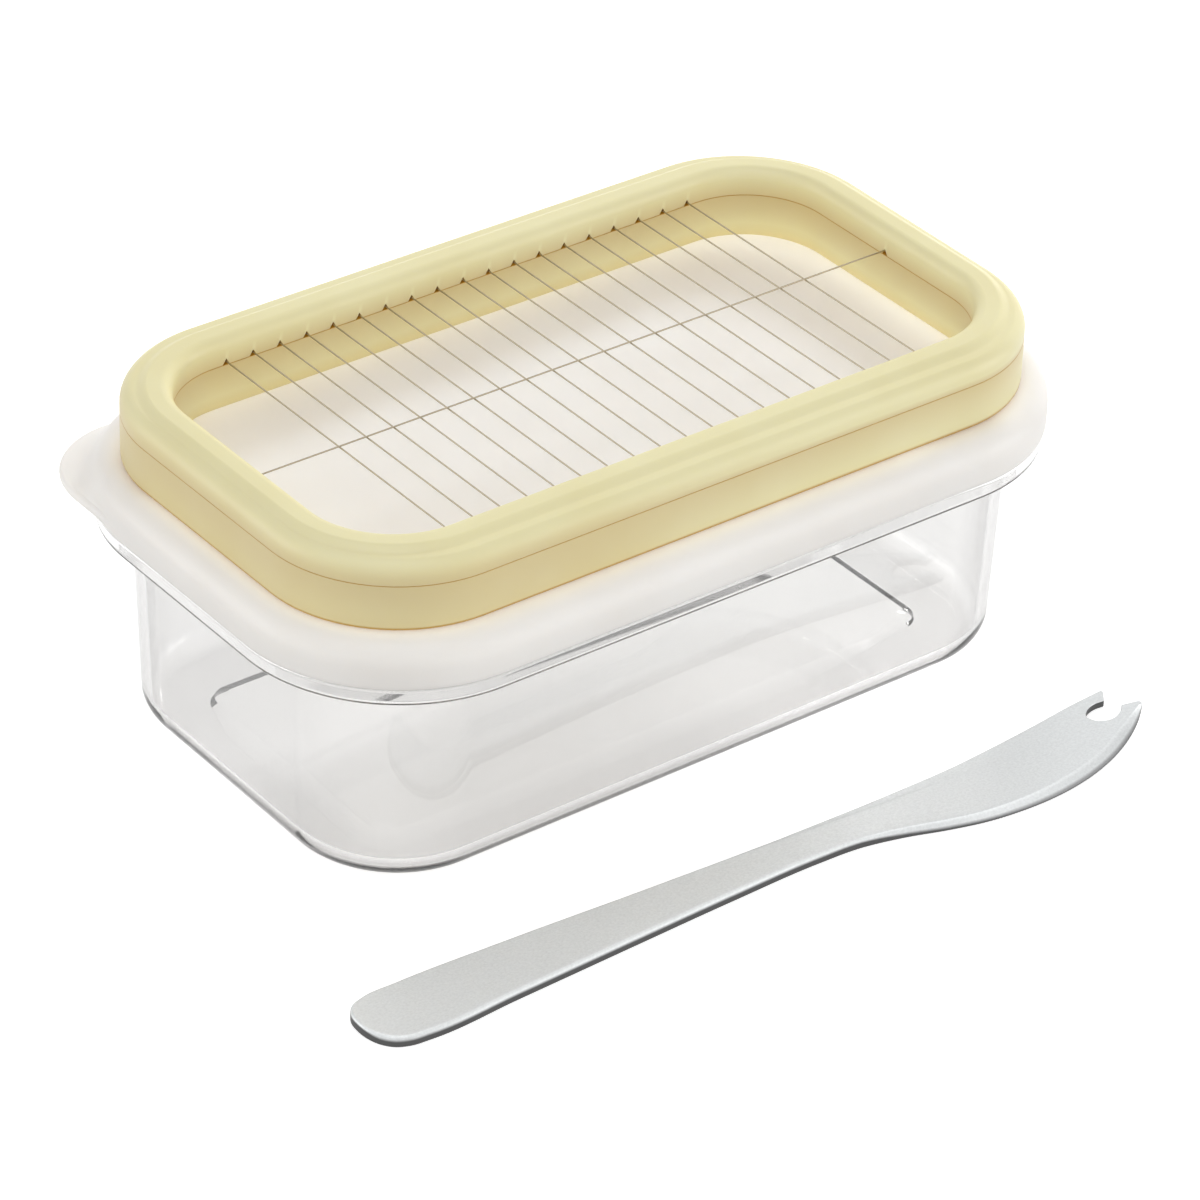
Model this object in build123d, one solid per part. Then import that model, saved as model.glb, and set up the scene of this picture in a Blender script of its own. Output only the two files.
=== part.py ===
"""Wire butter slicer: clear case, soft lid, wire cutter frame parked on the lid, and a butter knife.

Millimetres, +Z up. The origin is the centre of the case's underside, on the surface it stands on.
+X runs along the case, and -Y is the side where the knife lies.
"""
from dataclasses import dataclass
import math
import os

from build123d import *

# Wires: one pitch is one pat of butter.
wire_pitch = 5.8
cross_wire_count = 19
wire_d = 0.3
wire_running_gap = 0.02
wire_height_over_seam = 0.7

# Opening of the cutter frame, and how far each larger outline lies outside the one before it.
opening_half_x = 71.2
opening_half_y = 35.6
opening_corner = 16.4
band_x = 9.0
band_y = 10.1
band_corner = 9.6
ledge_x = 5.2
ledge_y = 5.8
ledge_corner = 5.9

# Cutter frame, upwards from the lid.
frame_seat_gap = 0.1
lower_ring_height = 8.9
shoulder_height = 4.5
shoulder_fillet = 3.2
crest_rise = 0.9
crest_width = 6.2
crest_outer_fillet = 0.7
crest_inner_fillet = 2.3
frame_foot_fillet = 0.5
seam_chamfer = 0.18
opening_flare = 0.5
opening_flare_height = 3.0

# Wire anchoring, closed between the two ring halves.
notch_width = 1.5
notch_height = 1.3
bead_land = 3.0
pocket_width = 2.4
pocket_height = 2.1
bead_d = 1.3
bead_length = 2.0
stud_d = 2.0
stud_height = 2.6
stud_root = 2.5
stud_fit_gap = 0.05
stud_end_gap = 0.2
stud_pitch_x = 48.0
stud_columns = 3
stud_inset = 2.5

# Lid.
lid_top_z = 54.8
lid_edge_fillet = 4.5
lid_wall = 1.5
lid_plate = 1.6
skirt_depth = 8.5
plateau_rise = 0.9
plateau_gap = 0.4
plateau_fillet = 0.5
rib_depth = 5.0
rib_wall = 1.4
tab_corner = 16.8
tab_lift = 0.9
tab_thickness = 1.8
tab_edge_fillet = 0.7

# Case.
lid_fit_gap = 0.3
flange_x = 5.8
flange_y = 5.2
flange_corner = 7.0
wall_draft = 1.2
case_wall = 2.0
case_floor = 2.4
case_foot_fillet = 5.6
cavity_floor_fillet = 3.8
rim_drop = 3.3
rim_plate = 2.0
rim_lip = 1.8
rim_edge_fillet = 0.6
foot_width_x = 9.0
foot_width_y = 9.0
foot_corner = 8.4
ramp_x = 5.8
ramp_y = 7.3
ramp_corner = 9.5
ramp_rise = 0.5
recess_depth = 1.1

# Knife, measured along its blade from the butt; the back is the +v side.
knife_thickness = 2.0
tip_thickness = 1.4
taper_from_u = 100.0
knife_past_lid_x = 11.8
knife_past_lid_y = 18.9
knife_turn = -3.45
knife_back = [
    (170.8, 15.3), (162.0, 14.1), (152.5, 12.4), (143.0, 10.9), (131.0, 9.3), (120.0, 8.5), (96.0, 7.6),
    (66.0, 7.5), (34.0, 7.8), (12.0, 7.6),
]
knife_butt = [
    (5.0, 7.1), (2.2, 5.9), (0.9, 3.9), (0.6, 1.2), (0.9, -1.2), (1.9, -3.7), (3.7, -5.7), (6.3, -6.8),
]
knife_edge = [
    (10.0, -7.1), (28.4, -5.6), (51.8, -3.6), (75.9, -1.6), (94.8, -0.4), (104.0, -0.5), (112.1, -1.9),
    (120.9, -4.3), (128.0, -5.8), (135.5, -6.4), (143.9, -6.1), (153.6, -4.2), (162.6, -0.6), (171.1, 5.0),
    (175.2, 8.8),
]
notch_edge = [
    (170.6, 9.5), (169.0, 7.9), (166.0, 6.8), (163.3, 7.9), (162.6, 9.6), (164.0, 11.3), (166.4, 12.2),
    (168.7, 12.2),
]

# Levels that follow from the sizes above.
skirt_z = lid_top_z - skirt_depth
lid_under_z = lid_top_z - lid_plate
plateau_z = lid_top_z + plateau_rise
frame_foot_z = lid_top_z + frame_seat_gap
seam_z = frame_foot_z + lower_ring_height
shoulder_z = seam_z + shoulder_height
crest_z = shoulder_z + crest_rise
cross_wire_z = seam_z + wire_height_over_seam
long_wire_z = cross_wire_z + wire_d + wire_running_gap
rim_top_z = lid_under_z - lid_fit_gap
rim_bottom_z = skirt_z - rim_drop
channel_top_z = rim_top_z - rim_plate
rib_bottom_z = lid_under_z - rib_depth
through = 5.0


@dataclass(frozen=True)
class Outline:
    """A rounded rectangle centred on the Z axis, given by its half sizes and corner radius."""

    half_x: float
    half_y: float
    corner: float

    def grown(self, by):
        """The parallel outline that lies `by` outside this one (inside it when negative)."""
        return self.stepped(by, by, by)

    def stepped(self, by_x, by_y, by_corner):
        """The outline with its half sizes and its corner radius each changed by an amount."""
        return Outline(self.half_x + by_x, self.half_y + by_y, self.corner + by_corner)

    def sketch(self, z):
        """The outline as a face at height z."""
        return Pos(0, 0, z) * RectangleRounded(2 * self.half_x, 2 * self.half_y, self.corner)


opening = Outline(opening_half_x, opening_half_y, opening_corner)
frame_edge = opening.stepped(band_x, band_y, band_corner)
lid_edge = frame_edge.stepped(ledge_x, ledge_y, ledge_corner)
lid_tab_edge = Outline(lid_edge.half_x, lid_edge.half_y, tab_corner)
rim_edge = lid_edge.grown(-lid_wall - lid_fit_gap)
wall_top = rim_edge.stepped(-flange_x, -flange_y, -flange_corner)
wall_foot = wall_top.grown(-wall_draft)
ramp_edge = wall_foot.stepped(-foot_width_x, -foot_width_y, -foot_corner)
recess_edge = ramp_edge.stepped(-ramp_x, -ramp_y, -ramp_corner)


def prism(outline, low, high):
    """A straight prism of an outline between two heights."""
    return extrude(outline.sketch(low), high - low)


def edges_at(solid, z):
    """The edges of a solid that lie at height z."""
    return solid.edges().filter_by_position(Axis.Z, z - 0.001, z + 0.001)


def wall_outline(z):
    """The outside of the drafted case wall at height z."""
    return wall_foot.grown(wall_draft * z / rim_bottom_z)


def drafted(inset, low, high):
    """The solid inside the drafted case wall, moved in by an inset, between two heights."""
    bottom = wall_outline(low).grown(-inset)
    top = wall_outline(high).grown(-inset)
    return loft([bottom.sketch(low), top.sketch(high)], ruled=True)


def wire_x(number):
    """The place along X of cross wire `number`, counted from 1 at the -X end."""
    return (number - 1 - (cross_wire_count - 1) / 2) * wire_pitch


def make_case():
    """Clear box with a turned-down rim, standing on a foot round a ramped recess in its underside."""
    body = drafted(0, 0, rim_top_z - rim_plate / 2)
    body = fillet(edges_at(body, 0), case_foot_fillet)
    rim = prism(rim_edge, rim_bottom_z, rim_top_z)
    rim = fillet(edges_at(rim, rim_top_z), lid_edge_fillet - lid_wall - lid_fit_gap)
    rim = fillet(edges_at(rim, rim_bottom_z), rim_edge_fillet)
    rim -= prism(rim_edge.grown(-rim_lip), rim_bottom_z - through, channel_top_z)
    cavity = drafted(case_wall, case_floor, rim_top_z + through)
    cavity = fillet(edges_at(cavity, case_floor), cavity_floor_fillet)
    ramp = loft([ramp_edge.sketch(0), recess_edge.sketch(ramp_rise)], ruled=True)
    return rim + body - cavity - ramp - prism(recess_edge, 0, recess_depth)


def make_tab():
    """Corner pull tab: the part of a tighter rounded rectangle that the lid's own corner leaves."""
    tab = prism(lid_tab_edge, skirt_z + tab_lift, skirt_z + tab_lift + tab_thickness)
    tab = fillet(edges_at(tab, skirt_z + tab_lift + tab_thickness), tab_edge_fillet)
    quarter = Box(2 * lid_edge.corner, 2 * lid_edge.corner, 2 * lid_top_z)
    return tab & Pos(-lid_edge.half_x, lid_edge.half_y, skirt_z) * quarter


def make_lid():
    """Soft lid: skirt over the case rim, sealing rib inside the wall, and a raised plateau."""
    shell = prism(lid_edge, skirt_z, lid_top_z)
    shell = fillet(edges_at(shell, lid_top_z), lid_edge_fillet)
    plateau = prism(opening.grown(-plateau_gap), lid_under_z, plateau_z)
    plateau = fillet(edges_at(plateau, plateau_z), plateau_fillet)
    hollow = prism(lid_edge.grown(-lid_wall), skirt_z - through, lid_under_z)
    hollow = fillet(edges_at(hollow, lid_under_z), lid_edge_fillet - lid_wall)
    rib_edge = wall_outline(rib_bottom_z).grown(-case_wall - lid_fit_gap)
    rib = prism(rib_edge, rib_bottom_z, lid_under_z) - prism(rib_edge.grown(-rib_wall), rib_bottom_z, lid_under_z)
    recess = prism(opening.grown(-plateau_gap - lid_wall), lid_under_z - through, plateau_z - lid_plate)
    return shell + make_tab() - hollow + plateau + rib - recess


def opening_cut(low, high, flare_low):
    """The solid taken out of a ring half, with a chamfer where it meets the seam.

    The lower half's wall also flares towards its foot.
    """
    cut = prism(opening, low - through, high + through)
    if flare_low:
        flare = loft(
            [opening.grown(opening_flare).sketch(low), opening.sketch(low + opening_flare_height)], ruled=True
        )
        seam = loft([opening.sketch(high - seam_chamfer), opening.grown(seam_chamfer).sketch(high)], ruled=True)
        return cut + flare + seam
    seam = loft([opening.grown(seam_chamfer).sketch(low), opening.sketch(low + seam_chamfer)], ruled=True)
    return cut + seam


def stud_places():
    """The places of the locating studs, in a row along each long side of the frame."""
    stud_y = frame_edge.half_y - stud_inset
    return GridLocations(stud_pitch_x, 2 * stud_y, stud_columns, 2).locations


def make_lower_ring():
    """Lower half of the cutter frame, with the studs that locate the upper half."""
    ring = prism(frame_edge, frame_foot_z, seam_z)
    ring = fillet(edges_at(ring, frame_foot_z), frame_foot_fillet)
    ring = chamfer(edges_at(ring, seam_z), seam_chamfer)
    ring -= opening_cut(frame_foot_z, seam_z, True)
    for place in stud_places():
        stud = Cylinder(stud_d / 2, stud_root + stud_height, align=(Align.CENTER, Align.CENTER, Align.MIN))
        ring += Pos(0, 0, seam_z - stud_root) * place * stud
    return ring


def wire_notch(width, height, length):
    """A triangular trough along Y through the seam, `length` long, for one cross wire."""
    profile = Plane.XZ * Polygon((-width / 2, 0), (width / 2, 0), (0, height), align=None)
    return Pos(0, 0, seam_z) * extrude(profile, length / 2, both=True)


def make_upper_ring():
    """Upper half of the cutter frame: shoulder, crest, wire notches and the bead pocket."""
    ring = prism(frame_edge, seam_z, shoulder_z)
    ring = fillet(edges_at(ring, shoulder_z), shoulder_fillet)
    ring = chamfer(edges_at(ring, seam_z), seam_chamfer)
    crest = prism(opening.grown(crest_width), seam_z + stud_height, crest_z)
    crest = fillet(edges_at(crest, crest_z), crest_outer_fillet)
    ring = ring + crest - opening_cut(seam_z, crest_z, False)
    inner_lip = [edge for edge in edges_at(ring, crest_z) if inside_lip(edge)]
    ring = fillet(inner_lip, crest_inner_fillet)
    pocket = prism(opening.grown(bead_land + pocket_width), seam_z, seam_z + pocket_height)
    pocket -= prism(opening.grown(bead_land), seam_z, seam_z + pocket_height)
    ring -= pocket
    reach = bead_land + pocket_width / 2
    for number in range(1, cross_wire_count + 1):
        ring -= Pos(wire_x(number), 0, 0) * wire_notch(notch_width, notch_height, 2 * (opening_half_y + reach))
    end_notch = wire_notch(notch_width, notch_height + wire_d, 2 * (opening_half_x + reach))
    ring -= Rot(0, 0, 90) * end_notch
    for place in stud_places():
        hole = Cylinder(
            stud_d / 2 + stud_fit_gap, stud_height + stud_end_gap, align=(Align.CENTER, Align.CENTER, Align.MIN)
        )
        ring -= Pos(0, 0, seam_z) * place * hole
    return ring


def inside_lip(edge):
    """Whether an edge on the crest lies on the opening's outline, not on the crest's outer edge."""
    middle = edge @ 0.5
    limit = opening.grown(crest_width / 2)
    past_x = max(abs(middle.X) - (limit.half_x - limit.corner), 0)
    past_y = max(abs(middle.Y) - (limit.half_y - limit.corner), 0)
    return math.hypot(past_x, past_y) < limit.corner


def wire_end(half):
    """How far from the centre a wire ends, at the outer face of its crimp bead."""
    return half + bead_land + wire_running_gap + bead_length


def make_cross_wire(number):
    """One taut cross wire, from bead to bead."""
    length = 2 * wire_end(opening_half_y)
    return Pos(wire_x(number), 0, cross_wire_z) * Rot(90, 0, 0) * Cylinder(wire_d / 2, length)


def make_long_wire():
    """The one wire along the opening, laid over the cross wires."""
    length = 2 * wire_end(opening_half_x)
    return Pos(0, 0, long_wire_z) * Rot(0, 90, 0) * Cylinder(wire_d / 2, length)


def crimp_bead():
    """A crimp bead round the Z axis with its wire's bore."""
    return Cylinder(bead_d / 2, bead_length) - Cylinder(wire_d / 2 + wire_running_gap, bead_length)


def make_cross_beads(side):
    """The beads at one end of all the cross wires: side is -1 at the front and +1 at the back."""
    middle = wire_end(opening_half_y) - bead_length / 2
    bead = Rot(90, 0, 0) * crimp_bead()
    places = [Pos(wire_x(number), side * middle, cross_wire_z) for number in range(1, cross_wire_count + 1)]
    return Compound(children=[place * bead for place in places])


def make_long_beads():
    """The two beads of the long wire."""
    middle = wire_end(opening_half_x) - bead_length / 2
    bead = Rot(0, 90, 0) * crimp_bead()
    return Compound(children=[Pos(side * middle, 0, long_wire_z) * bead for side in (-1, 1)])


def chord(start, end):
    """The step from one point of an outline to another."""
    return (end[0] - start[0], end[1] - start[1])


def knife_outline():
    """The knife's outline in its own axes: back, butt and edge, then spur, notch and tine."""
    into_butt = chord(knife_back[-1], knife_butt[1])
    out_of_butt = chord(knife_butt[-1], knife_edge[1])
    back = Spline(knife_back + knife_butt[:1], tangents=[chord(*knife_back[:2]), into_butt])
    butt = Spline(knife_butt + knife_edge[:1], tangents=[into_butt, out_of_butt])
    edge = Spline(knife_edge, tangents=[out_of_butt, chord(*knife_edge[-2:])])
    spur = Line(knife_edge[-1], notch_edge[0])
    notch = Spline(notch_edge)
    tine = Line(notch_edge[-1], knife_back[0])
    return make_face([back, butt, edge, spur, notch, tine])


def make_knife():
    """Flat steel knife lying in front of the case, thinner from the start of the blade to the tip."""
    blade = extrude(knife_outline(), knife_thickness)
    taper_length = knife_edge[-1][0] - taper_from_u
    slope = math.degrees(math.atan2(knife_thickness - tip_thickness, taper_length))
    above = Box(2 * taper_length, 4 * knife_past_lid_y, taper_length, align=(Align.MIN, Align.CENTER, Align.MIN))
    blade -= Pos(taper_from_u, 0, knife_thickness) * Rot(0, slope, 0) * above
    butt = Pos(-lid_edge.half_x - knife_past_lid_x, -lid_edge.half_y - knife_past_lid_y, 0)
    return butt * Rot(0, 0, knife_turn) * blade


def all_nodes():
    """Every sub-part of the set, by the name of its node."""
    nodes = {
        "case": make_case(),
        "lid": make_lid(),
        "lower_ring": make_lower_ring(),
        "upper_ring": make_upper_ring(),
        "long_wire": make_long_wire(),
        "cross_beads_front": make_cross_beads(-1),
        "cross_beads_back": make_cross_beads(1),
        "long_beads": make_long_beads(),
        "knife": make_knife(),
    }
    for number in range(1, cross_wire_count + 1):
        nodes[f"cross_wire_{number:02d}"] = make_cross_wire(number)
    return nodes


os.makedirs("parts", exist_ok=True)
for name, shape in all_nodes().items():
    export_step(shape, f"parts/{name}.step")
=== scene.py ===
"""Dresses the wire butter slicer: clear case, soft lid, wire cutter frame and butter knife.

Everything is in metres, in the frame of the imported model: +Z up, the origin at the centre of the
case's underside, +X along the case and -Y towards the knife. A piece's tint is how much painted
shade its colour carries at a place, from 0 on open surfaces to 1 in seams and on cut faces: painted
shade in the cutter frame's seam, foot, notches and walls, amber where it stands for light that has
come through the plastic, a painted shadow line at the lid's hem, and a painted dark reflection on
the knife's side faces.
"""
from __future__ import annotations

import logging
import math
from dataclasses import dataclass, field, replace
from enum import Enum

import bpy
import numpy as np
from mathutils import Matrix, Vector

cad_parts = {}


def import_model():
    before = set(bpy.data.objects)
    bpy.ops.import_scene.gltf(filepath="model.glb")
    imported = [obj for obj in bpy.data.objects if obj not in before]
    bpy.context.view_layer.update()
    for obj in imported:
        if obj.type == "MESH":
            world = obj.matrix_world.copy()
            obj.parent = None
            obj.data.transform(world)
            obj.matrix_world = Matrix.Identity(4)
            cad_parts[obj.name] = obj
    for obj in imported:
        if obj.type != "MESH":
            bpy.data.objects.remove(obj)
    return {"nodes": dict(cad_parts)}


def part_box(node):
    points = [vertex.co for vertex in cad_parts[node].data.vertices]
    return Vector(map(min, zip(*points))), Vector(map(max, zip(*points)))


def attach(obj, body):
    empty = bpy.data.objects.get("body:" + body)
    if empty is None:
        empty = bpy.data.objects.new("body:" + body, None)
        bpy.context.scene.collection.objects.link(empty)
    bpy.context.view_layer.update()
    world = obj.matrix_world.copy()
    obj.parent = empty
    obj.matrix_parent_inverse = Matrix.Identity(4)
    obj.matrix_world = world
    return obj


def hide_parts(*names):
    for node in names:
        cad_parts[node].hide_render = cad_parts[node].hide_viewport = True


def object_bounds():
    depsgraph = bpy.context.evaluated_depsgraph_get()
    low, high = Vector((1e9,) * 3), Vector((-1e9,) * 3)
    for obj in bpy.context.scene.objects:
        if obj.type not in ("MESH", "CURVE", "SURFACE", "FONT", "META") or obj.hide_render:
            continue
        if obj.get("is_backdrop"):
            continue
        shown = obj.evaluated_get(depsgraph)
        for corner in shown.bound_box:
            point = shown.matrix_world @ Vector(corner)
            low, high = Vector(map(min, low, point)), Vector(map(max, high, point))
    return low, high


LOG = logging.getLogger("butter_slicer")

# Over this, the size of a sine, a cosine or a share of a straight stretch counts as 1.
NEARLY_ONE = 0.999

Colour = tuple[float, float, float, float]
Pair = tuple[float, float]
Points = tuple[Pair, ...]
Socket = bpy.types.NodeSocket
Piece = bpy.types.Object
Finish = bpy.types.Material


class Body(Enum):
    """The bodies that pieces ride on."""

    CASE = "case"
    LID = "lid"
    CUTTER = "cutter"
    KNIFE = "knife"


class Slot(Enum):
    """Names of material slots for the pieces made here; no piece is given one here."""

    CLEAR = "clear_plastic"
    LID = "lid_plastic"
    FRAME = "frame_plastic"
    KNIFE = "knife_steel"


# ---------------------------------------------------------------------------------------------
# Shapes: a profile carried round a rounded rectangle
# ---------------------------------------------------------------------------------------------


@dataclass(frozen=True)
class Outline:
    """A rounded rectangle centred on the Z axis.

    Args:
        half_x: Half of its length along X.
        half_y: Half of its width along Y.
        corner: Radius of its corners.
    """

    half_x: float
    half_y: float
    corner: float

    def stepped(self, by_x: float, by_y: float, by_corner: float) -> Outline:
        """Returns the outline with its half sizes and corner radius changed by an amount each."""
        return Outline(self.half_x + by_x, self.half_y + by_y, self.corner + by_corner)

    def grown(self, by: float) -> Outline:
        """Returns the parallel outline that lies an amount outside this one."""
        return self.stepped(by, by, by)

    def straight(self) -> np.ndarray:
        """Returns half of the length of its straight stretches along X and along Y."""
        return np.array([self.half_x, self.half_y]) - self.corner


@dataclass(frozen=True)
class Stations:
    """The places round a rounded rectangle where a profile is set, shared by parallel outlines.

    Every station has a centre of curvature and the angle of its outward normal. They run
    counter-clockwise from the front end of the +X side.

    Args:
        along_x: Where each centre lies along X, from -1 to 1 of the straight stretch.
        along_y: The same along Y.
        angle: Angle of each outward normal.
    """

    along_x: np.ndarray
    along_y: np.ndarray
    angle: np.ndarray

    @classmethod
    def around(cls, long_side: np.ndarray, short_side: np.ndarray, corner_steps: int) -> Stations:
        """Builds the stations of one closed loop.

        Args:
            long_side: Places along a long side, from -1 to 1 of its straight stretch.
            short_side: Places along a short side, from -1 to 1 of its straight stretch.
            corner_steps: How many steps a corner's quarter turn has.

        Returns:
            The stations, with both ends of each straight stretch given once.
        """
        turn = np.linspace(0.0, math.pi / 2, corner_steps + 1)[1:-1]
        ones = np.ones_like
        sides = [
            (ones(short_side), short_side, 0.0 * short_side),
            (ones(turn), ones(turn), turn),
            (-long_side, ones(long_side), 0.0 * long_side + math.pi / 2),
            (-ones(turn), ones(turn), turn + math.pi / 2),
            (-ones(short_side), -short_side, 0.0 * short_side + math.pi),
            (-ones(turn), -ones(turn), turn + math.pi),
            (long_side, -ones(long_side), 0.0 * long_side + 1.5 * math.pi),
            (ones(turn), -ones(turn), turn + 1.5 * math.pi),
        ]
        return cls(*(np.concatenate([side[part] for side in sides]) for part in range(3)))

    @classmethod
    def even(cls, corner_steps: int) -> Stations:
        """Builds stations evenly along the sides, 12 steps to a long one and 6 to a short one."""
        return cls.around(np.linspace(-1, 1, 13), np.linspace(-1, 1, 7), corner_steps)

    def normals(self) -> np.ndarray:
        """Returns the outward normal of each station: the cosine and sine of its angle."""
        return np.column_stack([np.cos(self.angle), np.sin(self.angle)])

    def points(self, outline: Outline) -> np.ndarray:
        """Returns the stations on an outline: the centre of curvature plus radius times normal."""
        centres = np.column_stack([self.along_x, self.along_y]) * outline.straight()
        return centres + outline.corner * self.normals()


@dataclass
class Section:
    """A profile that is carried round one or more outlines.

    Args:
        rows: Each point's outline number, its distance outside that outline, and its height.
    """

    rows: list[tuple[int, float, float]] = field(default_factory=list)

    def to(self, base: int, out: float, height: float) -> None:
        """Adds one point."""
        self.rows.append((base, out, height))

    def arc(
        self, base: int, centre: Pair, radius: float, start: float, end: float, steps: int
    ) -> None:
        """Adds an arc about a centre, as centre plus radius times cosine and sine of the angle.

        Args:
            base: Number of the outline that distances are taken from.
            centre: Distance outside the outline and height of the arc's centre.
            radius: Radius of the arc.
            start: Angle of its first point in degrees, 0 outwards and 90 up.
            end: Angle of its last point in degrees.
            steps: How many steps it has.
        """
        for angle in np.radians(np.linspace(start, end, steps + 1)):
            out, rise = radius * math.cos(angle), radius * math.sin(angle)
            self.to(base, centre[0] + out, centre[1] + rise)

    def ease(self, base: int, start: Pair, end: Pair, steps: int) -> None:
        """Adds an S-shaped step: distance goes evenly and height by the smooth step of the share.

        Args:
            base: Number of the outline that distances are taken from.
            start: Distance outside the outline and height of its first point.
            end: The same for its last point.
            steps: How many steps it has.
        """
        (out, low), (out_end, high) = start, end
        for share in np.linspace(0.0, 1.0, steps + 1):
            level = share * share * (3.0 - 2.0 * share)
            self.to(base, out + (out_end - out) * share, low + (high - low) * level)

    def array(self) -> np.ndarray:
        """Returns the rows as an array of points by 3."""
        return np.array(self.rows)


def carry(stations: Stations, outlines: list[Outline], section: Section) -> np.ndarray:
    """Carries a section round its outlines.

    A vertex is its outline's station plus the section's distance times the outward normal, at the
    section's height.

    Args:
        stations: Where the section is set.
        outlines: The outlines that the section's rows name by number.
        section: The profile.

    Returns:
        Vertices as an array of stations by profile points by 3.
    """
    rows = section.array()
    paths = np.stack([stations.points(outline) for outline in outlines])
    base = paths[rows[:, 0].astype(int)].transpose(1, 0, 2)
    flat = base + rows[None, :, 1, None] * stations.normals()[:, None, :]
    height = np.broadcast_to(rows[:, 2], flat.shape[:2])
    return np.dstack([flat, height])


def grid_quads(around: int, across: int, closed: bool) -> np.ndarray:
    """Numbers the quads between neighbouring profiles of a loop.

    Args:
        around: How many profiles the loop has.
        across: How many points a profile has.
        closed: Whether a profile's last point joins its first.

    Returns:
        The vertex numbers of the quads, four each.
    """
    row = np.arange(around)[:, None]
    column = np.arange(across if closed else across - 1)[None, :]
    after_row, after_column = (row + 1) % around, (column + 1) % across
    corners = [
        row * across + column,
        after_row * across + column,
        after_row * across + after_column,
        row * across + after_column,
    ]
    return np.stack(corners, axis=-1).reshape(-1, 4)


def fade(value: np.ndarray, full: float, none: float) -> np.ndarray:
    """Returns 1 where a value is at `full`, 0 from `none` on, and a smooth step between."""
    share = np.clip((value - none) / (full - none), 0.0, 1.0)
    return share * share * (3.0 - 2.0 * share)


@dataclass(frozen=True)
class Role:
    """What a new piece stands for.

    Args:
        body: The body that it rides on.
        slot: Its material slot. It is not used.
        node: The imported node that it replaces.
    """

    body: Body
    slot: Slot
    node: str

    def piece(
        self,
        name: str,
        grid: np.ndarray,
        closed: bool,
        finish: Finish,
        tint: np.ndarray | None = None,
    ) -> Piece:
        """Makes the piece from a carried section, smooth and at the origin.

        Args:
            name: The piece's name.
            grid: Vertices as stations by profile points by 3.
            closed: Whether the section is a closed loop. An open one is capped flat at both ends.
            finish: Its material.
            tint: A value from 0 to 1 for each vertex, how much painted shade its material puts
                there.

        Returns:
            The piece.
        """
        around, across = grid.shape[:2]
        faces = grid_quads(around, across, closed).tolist()
        if not closed:
            loop = np.arange(around) * across
            faces += [loop[::-1].tolist(), (loop + across - 1).tolist()]
        mesh = bpy.data.meshes.new(name)
        mesh.from_pydata(grid.reshape(-1, 3).tolist(), [], faces)
        mesh.validate()
        if tint is not None:
            layer = mesh.attributes.new("tint", "FLOAT", "POINT")
            layer.data.foreach_set("value", tint.reshape(-1).astype(np.float32))
        mesh.polygons.foreach_set("use_smooth", np.ones(len(mesh.polygons), dtype=bool))
        mesh.materials.append(finish)
        piece = bpy.data.objects.new(name, mesh)
        bpy.context.scene.collection.objects.link(piece)
        piece.modifiers.new("flat_faces_stay_flat", "WEIGHTED_NORMAL").weight = 60
        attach(piece, self.body.value)
        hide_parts(self.node)
        return piece


# ---------------------------------------------------------------------------------------------
# Finishes
# ---------------------------------------------------------------------------------------------


class Graph:
    """A node tree being built."""

    def __init__(self, tree: bpy.types.NodeTree) -> None:
        """Keeps the tree."""
        self.tree = tree

    def found(self, kind: str) -> bpy.types.Node:
        """Returns the tree's node of a type."""
        return next(node for node in self.tree.nodes if node.type == kind)

    def link(self, source: Socket, target: Socket) -> None:
        """Links two sockets."""
        self.tree.links.new(source, target)

    def node(
        self, kind: str, inputs: dict[str | int, object] | None = None, **settings: object
    ) -> bpy.types.Node:
        """Adds a node.

        Args:
            kind: Blender's name of the kind of node.
            inputs: By name or number of an input, the socket that feeds it or its plain value.
            **settings: Its properties.

        Returns:
            The node.
        """
        node = self.tree.nodes.new(kind)
        for label, value in settings.items():
            setattr(node, label, value)
        for label, value in (inputs or {}).items():
            if isinstance(value, bpy.types.NodeSocket):
                self.link(value, node.inputs[label])
            else:
                node.inputs[label].default_value = value
        return node

    def noise(self, place: Socket, scale: Socket, **values: float) -> Socket:
        """Returns a noise texture's value, from 0 to 1 about 0.5."""
        inputs = {"Vector": place, "Scale": scale, **values}
        return self.node("ShaderNodeTexNoise", inputs).outputs["Fac"]

    def count(self, operation: str, *values: Socket | float, clamp: bool = False) -> Socket:
        """Returns the result of a sum, between 0 and 1 where it is clamped."""
        inputs = dict(enumerate(values))
        return self.node("ShaderNodeMath", inputs, operation=operation, use_clamp=clamp).outputs[0]

    def mix(self, share: Socket, none: Socket | Colour, full: Colour) -> Socket:
        """Returns the mix of two colours, the second where the share is 1."""
        inputs = {"Factor": share, "A": none, "B": full}
        return self.node("ShaderNodeMix", inputs, data_type="RGBA").outputs["Result"]

    def seen_directly(self) -> Socket:
        """Returns 1 for rays from the camera, from a reflection or through clear plastic.

        Returns:
            The greatest of the three shares.
        """
        rays = self.node("ShaderNodeLightPath").outputs
        seen = rays["Is Camera Ray"]
        for label in ("Is Glossy Ray", "Is Transmission Ray"):
            seen = self.count("MAXIMUM", seen, rays[label])
        return seen


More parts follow.
